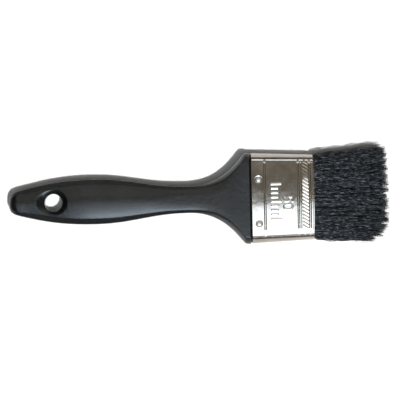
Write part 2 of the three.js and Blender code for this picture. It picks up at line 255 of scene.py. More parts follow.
def black_plastic():
    """Moulded plastic with a fine spark-eroded grain, rubbed a little smoother in patches."""
    paint = Paint("black_plastic", Metallic=0.0, IOR=1.49)
    patches = paint.noise(60, 4)
    specks = paint.noise(620, 3, 0.7)
    mottle = paint.between(paint.add(patches, specks, 1.2), 0.8, 1.5, 0, 1)
    paint.colour(paint.ramp(mottle, (0.0, (0.001, 0.0012, 0.0012)), (1.0, (0.012, 0.0132, 0.0145))))
    handled = paint.noise(25, 3, vector=paint.stretched(0.5, 1, 1))
    paint.roughness(paint.between(handled, 0.3, 0.7, 0.2, 0.27))
    grain = paint.noise(3800, 2, 0.6)
    scuffs = paint.noise(350, 4, 0.6, vector=paint.stretched(0.25, 1, 1))
    waves = paint.noise(260, 3, 0.6)
    grained = paint.add(paint.add(grain, scuffs, 0.5), specks, 5)
    paint.bump(paint.add(grained, waves, 2.5), 0.03, 0.8)
    return paint.material


def tinplate():
    """Bright rolled sheet: faint rolling lines, smudges and scratches, with painted shade on the narrow
    sides, which are also rougher.
    """
    paint = Paint("tinplate", Metallic=1.0)
    smudges = paint.noise(90, 5, 0.6)
    bright = paint.ramp(smudges, (0.3, (0.6, 0.555, 0.5)), (0.7, (0.67, 0.625, 0.575)))
    # Painted shade: the narrow sides get this darker colour, standing in for the dim surroundings they
    # mirror.
    side_shade_colour = paint.ramp(smudges, (0.3, (0.3, 0.265, 0.235)), (0.7, (0.4, 0.355, 0.32)))
    painted_side_shade = paint.attribute("painted_side_shade")
    paint.colour(paint.blend(painted_side_shade, bright, side_shade_colour))
    rolling = paint.noise(1500, 2, vector=paint.stretched(1, 0.04, 0.04))
    worn = paint.noise(140, 5, 0.65)
    gloss = paint.between(paint.add(worn, rolling, 0.35), 0.4, 0.95, 0.07, 0.15)
    paint.roughness(paint.add(gloss, painted_side_shade, 0.12))
    dents = paint.noise(160, 2)
    scratches = paint.noise(2600, 2, vector=paint.stretched(0.06, 1, 1))
    paint.bump(paint.add(dents, scratches, 0.04), 0.12, 0.25)
    return paint.material


def nail_steel():
    """Plated nail head, dulled by the hammer."""
    paint = Paint("nail_steel", Metallic=1.0)
    marks = paint.noise(900, 4, 0.6)
    paint.colour(paint.ramp(marks, (0.3, (0.4, 0.37, 0.34)), (0.7, (0.58, 0.55, 0.51))))
    paint.roughness(paint.between(marks, 0.3, 0.7, 0.22, 0.45))
    paint.bump(marks, 0.04, 0.5)
    return paint.material


def amber_resin():
    """Cured setting resin with trapped cloudiness."""
    paint = Paint("amber_resin", Metallic=0.0, IOR=1.55)
    cloud = paint.noise(260, 4)
    paint.colour(paint.ramp(cloud, (0.3, (0.2, 0.1, 0.03)), (0.75, (0.42, 0.26, 0.1))))
    paint.roughness(paint.between(cloud, 0.3, 0.7, 0.15, 0.4))
    paint.bump(cloud, 0.1, 0.4)
    return paint.material


def plug_wood():
    """Sawn softwood with the grain across the brush."""
    paint = Paint("plug_wood", Metallic=0.0)
    grain = paint.noise(900, 5, 0.6, vector=paint.stretched(1, 0.05, 1))
    paint.colour(paint.ramp(grain, (0.3, (0.36, 0.24, 0.12)), (0.7, (0.62, 0.47, 0.28))))
    paint.roughness(paint.between(grain, 0.3, 0.7, 0.6, 0.85))
    paint.bump(grain, 0.1, 0.6)
    return paint.material


def black_bristle():
    """Black bristle with a low sheen. Each strand has a random tone, painted a little darker the deeper it
    lies in its layer, and grey-blue streaks, partly a dusting and partly painted sheen, grey it in places.
    """
    paint = Paint("black_bristle", Metallic=0.0, IOR=1.3)
    # Each strand's random tone, with painted shade that makes strands deeper in the layer a little darker.
    shade = paint.attribute("strand_tone_and_depth_shade")
    tone_and_depth_shade_colour = paint.ramp(
        shade,
        (0.0, (0.001, 0.0012, 0.0015)),
        (0.6, (0.003, 0.004, 0.005)),
        (1.0, (0.022, 0.028, 0.037)),
    )
    # Grey-blue streaks, partly a dusting and partly painted sheen along the strands.
    dust_and_sheen_colour = paint.ramp(shade, (0.0, (0.028, 0.032, 0.038)), (0.6, (0.19, 0.215, 0.24)))
    dust_and_sheen_streaks = paint.noise(1300, 4, 0.7, vector=paint.stretched(0.3, 1, 1))
    paint.colour(paint.blend(paint.between(dust_and_sheen_streaks, 0.5, 0.64, 0, 1), tone_and_depth_shade_colour, dust_and_sheen_colour))
    scales = paint.noise(2500, 2, vector=paint.stretched(0.3, 1, 1))
    paint.roughness(paint.between(paint.add(shade, scales, 0.4), 0.1, 1.2, 0.45, 0.2))
    paint.bump(scales, 0.02, 0.4)
    return paint.material


def white_table():
    paint = Paint("white_table", Metallic=0.0, Roughness=0.9)
    paint.shader.inputs["Specular IOR Level"].default_value = 0.1
    fibres = paint.noise(400, 3)
    paint.colour(paint.ramp(fibres, (0.3, (0.9, 0.9, 0.9)), (0.7, (0.93, 0.93, 0.93))))
    return paint.material


# ---------- grids of points ----------


def grid_faces(rows, columns, closed_rows=False, skip=None):
    """Quads of a grid of points numbered row by row. Columns close on themselves."""
    faces = []
    for i in range(rows if closed_rows else rows - 1):
        below = (i + 1) % rows
        for j in range(columns):
            if skip and skip(i, j):
                continue
            after = (j + 1) % columns
            faces.append((i * columns + j, below * columns + j, below * columns + after, i * columns + after))
    return faces


def lathe(rows, segments):
    """Points and faces of a round body on the z axis through (radius, height) rows, closed at both ends."""
    angles = np.arange(segments) * 2 * math.pi / segments
    rings = [np.stack([r * np.cos(angles), r * np.sin(angles), np.full(segments, h)], 1) for r, h in rows]
    points = np.concatenate([*rings, [[0, 0, rows[0][1]], [0, 0, rows[-1][1]]]])
    faces = [f[::-1] for f in grid_faces(len(rows), segments)]
    first, last = len(points) - 2, len(points) - 1
    end = (len(rows) - 1) * segments
    for j in range(segments):
        after = (j + 1) % segments
        faces.append((first, after, j))
        faces.append((last, end + j, end + after))
    return points, faces


# ---------- handle ----------


def bezier(a, b, c, d, steps=60):
    """Points of a cubic curve from a to d."""
    t = np.linspace(0, 1, steps)[:, None]
    a, b, c, d = (np.array(p, float) for p in (a, b, c, d))
    return a * (1 - t) ** 3 + 3 * b * t * (1 - t) ** 2 + 3 * c * t * t * (1 - t) + d * t**3


def handle_outline():
    """(distance from the ferrule, half width) from the shoulder to the nose."""
    shoulder = [
        (SHOULDER_SET_BACK, SHOULDER_HALF_WIDTH - 0.4),
        (SHOULDER_SET_BACK + 0.4, SHOULDER_HALF_WIDTH),
    ]
    corner_end = (CORNER_AT, CORNER_HALF_WIDTH)
    neck = (NECK_AT, NECK_HALF_WIDTH)
    widest = (BELLY_AT, BELLY_HALF_WIDTH)
    nose_start = (NOSE_AT, NOSE_HALF_WIDTH)
    corner = bezier((2.6, SHOULDER_HALF_WIDTH - 0.05), (3.6, 27.1), (4.2, 26.9), corner_end, 12)
    throat = bezier(corner_end, (13.6, 15.0), (23.1, NECK_HALF_WIDTH), neck)
    belly = bezier(neck, (61.1, NECK_HALF_WIDTH), (70.6, BELLY_HALF_WIDTH), widest)
    taper = bezier(widest, (114.6, BELLY_HALF_WIDTH), (126, 10.8), nose_start)
    nose = bezier(nose_start, (143.2, 6.1), (HANDLE_LENGTH, 4.8), (HANDLE_LENGTH, 0))
    return np.concatenate([shoulder, corner, throat[1:], belly[1:], taper[1:], nose[1:]])


OUTLINE = handle_outline()


def handle_half_width(at):
    return np.interp(at, OUTLINE[:, 0], OUTLINE[:, 1])


def handle_half_thickness(at):
    half = mix(SHOULDER_HALF_THICKNESS, NECK_HALF_THICKNESS, smooth(at, 2, NECK_AT))
    half = mix(half, BELLY_HALF_THICKNESS, smooth(at, NECK_AT + 4, BELLY_AT))
    half = mix(half, NOSE_HALF_THICKNESS, smooth(at, BELLY_AT, NOSE_AT + 4))
    into_nose = np.clip((at - NOSE_AT) / (HANDLE_LENGTH - NOSE_AT), 0, 1)
    return half * np.sqrt(1 - into_nose**2)


CROWN_STEPS = 18
STRIP_STEPS = 14
WALL_STEPS = 8
WINDOW_STEPS = 14


def crown_drop(y, half_width, strip, slope, power):
    """How far the crowned face has fallen at a distance y from its middle."""
    reach = half_width - strip
    return slope * reach / (power + 1) * (np.abs(y) / reach) ** (power + 1)


def rounded(points, softness):
    """An open line with its corners rounded, keeping its ends. softness is about the radius, in mm."""
    steps = np.linalg.norm(np.diff(points, axis=0), axis=1)
    along = np.concatenate([[0], np.cumsum(steps)])
    even = np.linspace(0, along[-1], 400)
    line = np.stack([np.interp(even, along, points[:, i]) for i in (0, 1)], 1)
    spread = max(1.0, softness / (along[-1] / 399))
    reach = int(3 * spread)
    kernel = np.exp(-0.5 * (np.arange(-reach, reach + 1) / spread) ** 2)
    kernel /= kernel.sum()
    before = line[1 : reach + 1][::-1] * [-1, 1]
    after = line[-reach - 1 : -1][::-1] * [1, -1]
    padded = np.concatenate([before, line, after])
    soft = np.stack([np.convolve(padded[:, i], kernel, "valid") for i in (0, 1)], 1)
    result = np.stack([np.interp(along, even, soft[:, i]) for i in (0, 1)], 1)
    result[0, 0] = 0
    result[-1, 1] = 0
    return result


def section_quarter(half_width, half_thickness, strip, strip_slope, bulge, slope, power, softness):
    """From the top middle to the side: a crowned face, a strip outside its crease, and a wall.

    The strip slants by strip_slope, and its outer part rounds over by a further bulge.
    """
    crease = half_width - strip
    crown_y = np.sin(np.linspace(0, math.pi / 2, CROWN_STEPS + 1)) * crease
    drop = crown_drop(crown_y, half_width, strip, slope, power)
    share = np.sin(np.linspace(0, math.pi / 2, STRIP_STEPS + 1)[1:])
    strip_y = crease + strip * share
    turning = np.clip((share - 0.2) / 0.8, 0, 1)
    strip_drop = drop[-1] + strip_slope * strip * share + bulge * (1 - np.sqrt(1 - turning**2))
    flatten = min(1.0, 0.9 * half_thickness / strip_drop[-1])
    top = np.stack([crown_y, half_thickness - drop * flatten], 1)
    side = np.stack([strip_y, half_thickness - strip_drop * flatten], 1)
    down = 1 - (np.arange(1, WALL_STEPS + 1) / WALL_STEPS) ** 1.8
    wall = np.stack([np.full(WALL_STEPS, half_width), side[-1, 1] * down], 1)
    return rounded(np.concatenate([top, side, wall]), softness)


def full_ring(x, y, z):
    """A closed ring at x from one quarter: top middle, right side, bottom, left side and back."""
    ring_y = np.concatenate([y, y[-2::-1], -y[1:], -y[-2:0:-1]])
    ring_z = np.concatenate([z, -z[-2::-1], -z[1:], z[-2:0:-1]])
    return np.stack([np.full(len(ring_y), x), ring_y, ring_z], 1)


def strip_width(at):
    width = mix(SHOULDER_STRIP, NECK_STRIP, smooth(at, 8, NECK_AT))
    width = mix(width, BELLY_STRIP, smooth(at, NECK_AT, BELLY_AT))
    return np.minimum(width, 0.3 * handle_half_width(at))


def crown(at):
    """Slope of the crowned face at its crease, and how late the slope builds up towards it."""
    slope = mix(SHOULDER_CROWN, NECK_CROWN, smooth(at, 8, NECK_AT))
    slope = mix(slope, BELLY_CROWN, smooth(at, NECK_AT, BELLY_AT))
    power = mix(3.0, 1.3, smooth(at, NECK_AT, NECK_AT + 25))
    return slope, power


def handle_ring(at):
    half_width = float(handle_half_width(at))
    half_thickness = float(handle_half_thickness(at))
    if at < SHOULDER_SET_BACK + SHOULDER_ROUNDING:
        half_thickness -= 0.35 * (1 - (at - SHOULDER_SET_BACK) / SHOULDER_ROUNDING) ** 2
    slope, power = crown(at)
    softness = min(0.25, 0.04 * half_width)
    strip = float(strip_width(at))
    bulge = mix(SHOULDER_BULGE, 0.0, smooth(at, 10, NECK_AT))
    quarter = section_quarter(half_width, half_thickness, strip, STRIP_SLOPE, bulge, slope, power, softness)
    return full_ring(-at, *quarter.T)


def tang_ring(x):
    """A ring of the tang: flat faces and slanted edges, a joint gap inside the sheet."""
    inset = SHEET + JOINT_GAP
    half_width = ferrule_half_width(x) - inset
    half_thickness = FERRULE_HALF_THICKNESS - inset
    quarter = section_quarter(
        half_width, half_thickness, strip=3.6, strip_slope=1.2, bulge=0.0, slope=0.0, power=1.0, softness=0.3
    )
    return full_ring(x, *quarter.T)


def recess_height(offset, top):
    """Height of the recess round the bore: an elliptic slope from the handle's face down to the bore."""
    radius = np.linalg.norm(offset, axis=1)
    direction = offset / radius[:, None]
    length = np.where(direction[:, 0] < 0, RECESS_TO_NOSE, RECESS_TO_FERRULE)
    outline = 1 / np.hypot(direction[:, 0] / length, direction[:, 1] / RECESS_ACROSS)
    share = (radius - HOLE_RADIUS) / (outline - HOLE_RADIUS)
    return HOLE_LAND + (top - HOLE_LAND) * share - 0.3 * np.exp(-(radius - HOLE_RADIUS) / 0.15)


def soft_lower(a, b, softness):
    """The lower of two heights, with their meeting line rounded over."""
    gap = np.abs(a - b) / softness
    return np.minimum(a, b) - softness * np.log1p(np.exp(-gap))


def handle_top(x, y):
    """Height of the plain handle over points near the hanging hole, inside its creases."""
    at = -x
    slope, power = crown(at)
    drop = crown_drop(y, handle_half_width(at), strip_width(at), slope, power)
    return handle_half_thickness(at) - drop


def hole_rings(border):
    """Rings from a border round the hole down through the countersink and bore to the other face."""
    centre = np.array([-HOLE_AT, 0])
    away = border[:, :2] - centre
    direction = away / np.linalg.norm(away, axis=1)[:, None]
    on_bore = centre + direction * HOLE_RADIUS
    seam = border[:, 2] - handle_top(*border[:, :2].T)
    rings = []
    for share in 1 - (1 - np.linspace(0, 1, 34)[1:]) ** 1.5:
        place_xy = mix(border[:, :2], on_bore, share)
        top = handle_top(*place_xy.T) + seam * (1 - share) ** 2
        height = soft_lower(top, recess_height(place_xy - centre, top), 0.12 * share)
        rings.append(np.column_stack([place_xy, height]))
    bore = rings[-1].copy()
    walls = []
    for share in (0.4, 0, -0.4):
        wall = bore.copy()
        wall[:, 2] *= share
        walls.append(wall)
    below = [ring * [1, 1, -1] for ring in rings[::-1]]
    return rings + walls + below


def make_handle(material):
    """The handle and its tang in rings along its length, with a window in each face for the hanging hole."""
    nose = HANDLE_LENGTH - (HANDLE_LENGTH - NOSE_AT) * np.linspace(0.1, 1, 16) ** 2
    middle = np.arange(NOSE_AT - 1.1, 9, -1.1)
    shoulder = np.arange(8.6, 1.8, -0.4)
    shoulder_end = SHOULDER_SET_BACK + np.array([0.8, 0.6, 0.4, 0.2, 0.08, 0])
    stations = np.concatenate([nose, middle, shoulder, shoulder_end])
    rings = [handle_ring(at) for at in stations]
    rings += [tang_ring(x) for x in (-SHOULDER_SET_BACK, 0.5, TANG_LENGTH - 0.6, TANG_LENGTH)]
    count = len(rings[0])
    points = np.concatenate([*rings, [[-HANDLE_LENGTH, 0, 0], [TANG_LENGTH, 0, 0]]])
    pole, end = len(points) - 2, len(points) - 1

    first = int(np.argmin(abs(stations - (HOLE_AT + HOLE_WINDOW))))
    last = int(np.argmin(abs(stations - (HOLE_AT - HOLE_WINDOW))))
    quarter = count // 4
    right, left = WINDOW_STEPS, count - WINDOW_STEPS
    across = [j % count for j in range(left, count + right + 1)]

    def in_window(i, j):
        return first <= i < last and (j in across[:-1] or (2 * quarter - j - 1) % count in across[:-1])

    border = [(first, j) for j in across[::-1]]
    border += [(i, left) for i in range(first + 1, last)]
    border += [(last, j) for j in across]
    border += [(i, right) for i in range(last - 1, first, -1)]
    border = border[::-1]
    top = [i * count + j for i, j in border]
    bottom = [i * count + (2 * quarter - j) % count for i, j in border]

    faces = grid_faces(len(rings), count, skip=in_window)
    tail = (len(rings) - 1) * count
    for j in range(count):
        after = (j + 1) % count
        faces.append((pole, j, after))
        faces.append((end, tail + after, tail + j))
    chain = [top]
    for ring in hole_rings(points[top]):
        chain.append(list(range(len(points), len(points) + len(ring))))
        points = np.concatenate([points, ring])
    chain[-1] = bottom
    for upper, lower in zip(chain, chain[1:]):
        for m in range(len(upper)):
            n = (m + 1) % len(upper)
            faces.append((lower[m], lower[n], upper[n], upper[m]))
    return new_mesh("moulded_handle", points, faces, material)


# ---------- ferrule ----------


def ferrule_half_width(x):
    return mix(FERRULE_BACK_HALF_WIDTH, FERRULE_MOUTH_HALF_WIDTH, x / FERRULE_LENGTH)


def ferrule_crease(x):
    return mix(CREASE_BACK, CREASE_MOUTH, x / FERRULE_LENGTH)


def hump(distance, half_width):
    """A round-topped rise: 1 at distance 0, and 0 from half_width on."""
    share = np.clip(np.abs(distance) / half_width, 0, 1)
    return 0.5 + 0.5 * np.cos(math.pi * share)


def beads(x):
    """Rise of the lines pressed across the ferrule: beads, a fine line and a hem's shallow groove."""
    rise = sum(hump(x - at, 0.95) for at in BEADS)
    return BEAD_HEIGHT * (rise + 0.5 * hump(x - FINE_LINE, 0.4)) - 0.1 * hump(x - HEM_LINE, 0.3)


def edge_lip(x, y, crease):
    """The face's slight turn up at each long crease, parted where the beads reach it."""
    parted = sum(hump(x - at, 1.1) for at in (*BEADS, 31.3))
    rise = smooth(np.abs(y), crease - LIP_WIDTH, crease - 0.05)
    return LIP_HEIGHT * rise * np.clip(1 - parted, 0, 1)


def bead_ends(y, crease):
    """1 along the beads and the rope, which run up to the right ridge and stop short of the left one."""
    return (1 - smooth(y, crease - 2.4, crease - 1.4)) * smooth(y, 3.0 - crease, 4.4 - crease)


def rope(x, y):
    """Slanted rounded bars between two beads."""
    turn = (y + ROPE_SLOPE * (x - ROPE_START)) / ROPE_PITCH
    bar = (0.5 + 0.5 * np.cos(2 * math.pi * turn)) ** 1.5
    band = smooth(x, ROPE_START - 0.3, ROPE_START + 0.4) * (1 - smooth(x, ROPE_END - 0.4, ROPE_END + 0.3))
    worn = 1 - 0.8 * smooth(y, 5, 13)
    return 0.5 * BEAD_HEIGHT * bar * band * worn


def dimples(x, y, sides):
    """Round hollows that the nail heads sit in."""
    rise = np.zeros_like(x)
    for side in sides:
        distance = np.hypot(x - NAIL_AT, y - side)
        rise -= 0.5 * (1 - smooth(distance, NAIL_HEAD_RADIUS - 0.05, NAIL_HEAD_RADIUS + 0.55))
    return rise


def arc_points(cx, cy, rx, ry, start, stop, steps=14):
    """Points of an ellipse's arc, with angles in degrees."""
    angles = np.radians(np.linspace(start, stop, steps))
    return np.stack([cx + rx * np.cos(angles), cy + ry * np.sin(angles)], 1)


def mark_strokes():
    """Strokes of the pressed mark: a row of plain scale ticks, and the number of the brush's size."""
    strokes = []
    for i in range(TICKS):
        length = LONG_TICK if i % 4 == 0 else TICK_LENGTH
        y = FIRST_TICK - TICK_PITCH * i
        strokes.append(np.array([(TICKS_AT, y), (TICKS_AT + length, y)]))
    bowl = arc_points(0.28, 0.32, 0.3, 0.32, 115, -145)
    five = np.concatenate([[(0.56, 1), (0.12, 1), (0.07, 0.56)], bowl])
    nought = arc_points(0.31, 0.5, 0.29, 0.5, 0, 360, 24)
    for figure, start in ((five, 0.6), (nought, -4.0)):
        figure = figure * FIGURE_HEIGHT
        strokes.append(np.stack([FIGURES_AT + figure[:, 1], start - figure[:, 0]], 1))
    return strokes


def distance_to_strokes(x, y, strokes):
    """Distance from each point to the nearest stroke."""
    nearest = np.full(x.shape, 1e3)
    for stroke in strokes:
        for (ax, ay), (bx, by) in zip(stroke, stroke[1:]):
            dx, dy = bx - ax, by - ay
            share = np.clip(((x - ax) * dx + (y - ay) * dy) / (dx * dx + dy * dy + 1e-9), 0, 1)
            nearest = np.minimum(nearest, np.hypot(x - ax - share * dx, y - ay - share * dy))
    return nearest


def size_mark(x, y):
    """Rise of the pressed mark, worked out only for the points near it."""
    near = (x > 10) & (x < 26) & (np.abs(y + 3) < 14)
    rise = np.zeros_like(x)
    distance = distance_to_strokes(x[near], y[near], mark_strokes())
    rise[near] = MARK_HEIGHT * (1 - smooth(distance, 0.12, 0.6))
    return rise


def ferrule_stations():
    """Places along the ferrule, closer together where the sheet is pressed."""
    fine = []
    for at in BEADS:
        fine.append(np.arange(at - 1.05, at + 1.06, 0.15))
    fine.append(np.arange(FINE_LINE - 0.5, FINE_LINE + 0.51, 0.125))
    fine.append(np.arange(ROPE_START - 0.4, ROPE_END + 0.41, 0.2))
    fine.append(np.arange(NAIL_AT - 2.8, NAIL_AT + 2.81, 0.25))
    fine.append(np.arange(10.8, 24.61, 0.16))
    fine.append(np.arange(HEM_LINE - 0.5, HEM_LINE + 0.4, 0.12))
    plain = np.arange(1, FERRULE_LENGTH, 0.8)
    crowded = np.unique(np.round(np.concatenate([*fine, plain]), 3))
    keep = [crowded[0]]
    for x in crowded[1:]:
        if x - keep[-1] > 0.11:
            keep.append(x)
    return np.array([x for x in keep if 0.5 < x < FERRULE_LENGTH - 0.3])


def ferrule_shares():
    """Places across a flat face, as shares of its half width."""
    mark = np.arange(-16.5, 11.5, 0.17)
    right = np.arange(11.5, 21.6, 0.27)
    left = -np.arange(16.5, 21.6, 0.27)[::-1]
    edge = np.concatenate([np.arange(21.6, 23.3, 0.12), [23.38, 23.45]])
    places = np.concatenate([-edge[::-1], left, mark, right, edge])
    return np.concatenate([[-1], places[1:-1] / CREASE_BACK, [1]])


ARC_SHARES = np.concatenate([[0.015, 0.04], np.linspace(0.08, 0.92, 22), [0.96, 0.985]])
CHAMFER_SHARES = np.array([0.06, 0.16, 0.3, 0.5, 0.7, 0.86, 0.97])


def pressed_top(x, y, crease):
    rise = beads(x) * bead_ends(y, crease) + edge_lip(x, y, crease)
    rise = rise + rope(x, y) * bead_ends(y, crease) + dimples(x, y, NAIL_SIDES)
    return rise + size_mark(x, y)


def pressed_under(x, y, crease):
    """The underside is the top's mirror image from side to side, without the mark."""
    rise = beads(x) * bead_ends(-y, crease) + edge_lip(x, y, crease)
    return rise + rope(x, -y) * bead_ends(-y, crease) + dimples(x, y, [-side for side in NAIL_SIDES])


def sheet_ring(x, inset, shares, pressed):
    """One ring of the sheet at x: top face, right side, underside, left side."""
    crease = float(ferrule_crease(x)) - inset * 0.7
    half_width = float(ferrule_half_width(x)) - inset
    edge = FERRULE_HALF_THICKNESS - UNDER_CROWN - inset
    shoulder = edge - CHAMFER * CHAMFER_SLOPE
    bulge = half_width - crease - CHAMFER
    radius = (shoulder**2 + bulge**2) / (2 * bulge)
    angle = math.asin(shoulder / radius)
    y = shares * crease
    along = np.full(len(y), x)
    base_top = edge + TOP_CROWN * (1 - shares**2)
    base_under = edge + UNDER_CROWN * (1 - shares**2)
    rise_top, rise_under = np.zeros(len(y)), np.zeros(len(y))
    if pressed:
        rise_top, rise_under = pressed_top(along, y, crease), pressed_under(along, y, crease)
    swell = 0.45 * (x / FERRULE_LENGTH) ** 6 * (1 - shares**2)
    top = np.stack([along + swell, y, base_top + rise_top], 1)
    under = np.stack([along + swell, y, -base_under - rise_under], 1)[::-1]
    turn = angle * (1 - 2 * ARC_SHARES)
    pinch = sum(hump(x - at, 0.9) for at in BEADS) if pressed else 0.0
    dent = 0.16 * pinch * (hump(ARC_SHARES, 0.12) + hump(1 - ARC_SHARES, 0.12))
    side_y = half_width - radius + (radius - dent) * np.cos(turn)
    side_z = (radius - dent) * np.sin(turn)
    chamfer_y = crease + CHAMFER * CHAMFER_SHARES
    chamfer_z = edge - CHAMFER * CHAMFER_SLOPE * CHAMFER_SHARES
    side_y = np.concatenate([chamfer_y, side_y, chamfer_y[::-1]])
    side_z = np.concatenate([chamfer_z, side_z, -chamfer_z[::-1]])
    right = np.stack([np.full(len(side_y), x), side_y, side_z], 1)
    left = np.stack([np.full(len(side_y), x), -side_y, side_z], 1)[::-1]
    return np.concatenate([top, right, under, left])


def make_ferrule(material):
    """The sheet as rings: along its outside to the mouth, round the rim, and back along its inside."""
    shares = ferrule_shares()
    end = FERRULE_LENGTH
    outside = [(0, 0.12, False), (0.03, 0.03, False), (0.12, 0, False), (0.4, 0, True)]
    outside += [(x, 0, True) for x in ferrule_stations()]
    outside += [(end - 0.2, 0, True), (end - 0.1, 0, False), (end - 0.02, 0.04, False), (end, 0.12, False)]
    inside = [(end, SHEET - 0.1, False), (end - 0.1, SHEET, False)]
    inside += [(x, SHEET, False) for x in np.linspace(end - 2, 2, 12)]
    inside += [(0.1, SHEET, False), (0, SHEET - 0.1, False)]
    rings = [sheet_ring(x, inset, shares, pressed) for x, inset, pressed in outside + inside]
    points = np.concatenate(rings)
    faces = grid_faces(len(rings), len(rings[0]), closed_rows=True)
    obj = new_mesh("tinplate_ferrule", points, faces, material)
    # Painted shade mask: 1 on the narrow sides outside the creases, where the sheet's colour is painted
    # darker.
    painted_side_shade = smooth(np.abs(points[:, 1]) - ferrule_crease(points[:, 0]), -1.4, 0.3)
    attribute = obj.data.attributes.new("painted_side_shade", "FLOAT", "POINT")
    attribute.data.foreach_set("value", painted_side_shade.astype(np.float32))
    return obj


def make_nail(name, side, face, material):
    """A nail with a domed head in its dimple. face is 1 for the top and -1 for the underside."""
    crown = TOP_CROWN if face > 0 else UNDER_CROWN
    seat = FERRULE_HALF_THICKNESS - 0.42 + (crown - UNDER_CROWN) * (1 - (side / CREASE_BACK) ** 2)
    r = NAIL_HEAD_RADIUS
    rows = [
        (0.05, seat - NAIL_LENGTH),
        (0.2, seat - 7),
        (0.72, seat - 5.6),
        (0.75, seat - 0.3),
        (0.9, seat - 0.05),
    ]
    rows += [(r - 0.12, seat - 0.05), (r, seat + 0.05), (r, seat + 0.22), (r - 0.1, seat + 0.32)]
    rows += [(r * c, seat + 0.32 + 0.22 * (1 - c * c)) for c in (0.85, 0.7, 0.5, 0.3, 0.12)]
    points, faces = lathe(rows, 40)
    points = points * [1, face, face] + [NAIL_AT, side, 0]
    return new_mesh(name, points, faces, material)


# ---------- bristles ----------

STRANDS_PER_LAYER = 1700
STRAND_SIDES = 4
MOUTH = FERRULE_LENGTH

# The gathered roots inside the ferrule: places along it, and the layer's size at each.
ROOTS = (15.6, 21.4, 24.5, 33.0, MOUTH)
ROOT_HALF_WIDTHS = (23.3, 23.3, 23.9, 24.0, 24.4)
ROOT_INNER = (2.3, 2.3, 1.9, 1.7, 0.5)
ROOT_OUTER = (6.3, 6.3, 7.3, 7.45, 7.5)

# The free bristles beyond the mouth: places along them as shares of a strand's reach, and the layer's size.
FREE_SHARES = (*np.linspace(0.05, 0.92, 19), 0.97, 1.0)
REACH, LEFT_CORNER_CUT, RIGHT_CORNER_CUT = 44.0, 8.6, 0.9
MOUTH_OUTER, MOUTH_INNER, TIP_OUTER = 7.45, 0.4, 5.9
RIGHT_TIP_HALF_WIDTH = 29.3
LEFT_TIP_HALF_WIDTH = 27.0
MOUTH_HALF_WIDTH = 25.2
LOCKS_PER_LAYER = 15
TUFTS_PER_LAYER = 170
LAYER_THICKNESS = 7.0

# Sideways sway of a strand: one lean to a side, then waves with these numbers of half turns.
WAVE_COUNTS = (1, 2, 3, 5, 8)
WAVE_SIZES = (0.5, 0.4, 0.25, 0.2, 0.2, 0.17)


def tip_line(across):
    """How far the bristles reach beyond the mouth, from the left edge (-1) to the right edge (1)."""
    left_cut = LEFT_CORNER_CUT * smooth(-across, 0.7, 1.0) ** 1.3
    right_cut = RIGHT_CORNER_CUT * smooth(across, 0.8, 1.0)
    return REACH - left_cut - right_cut + 0.4 * np.sin(4 * across + 1)


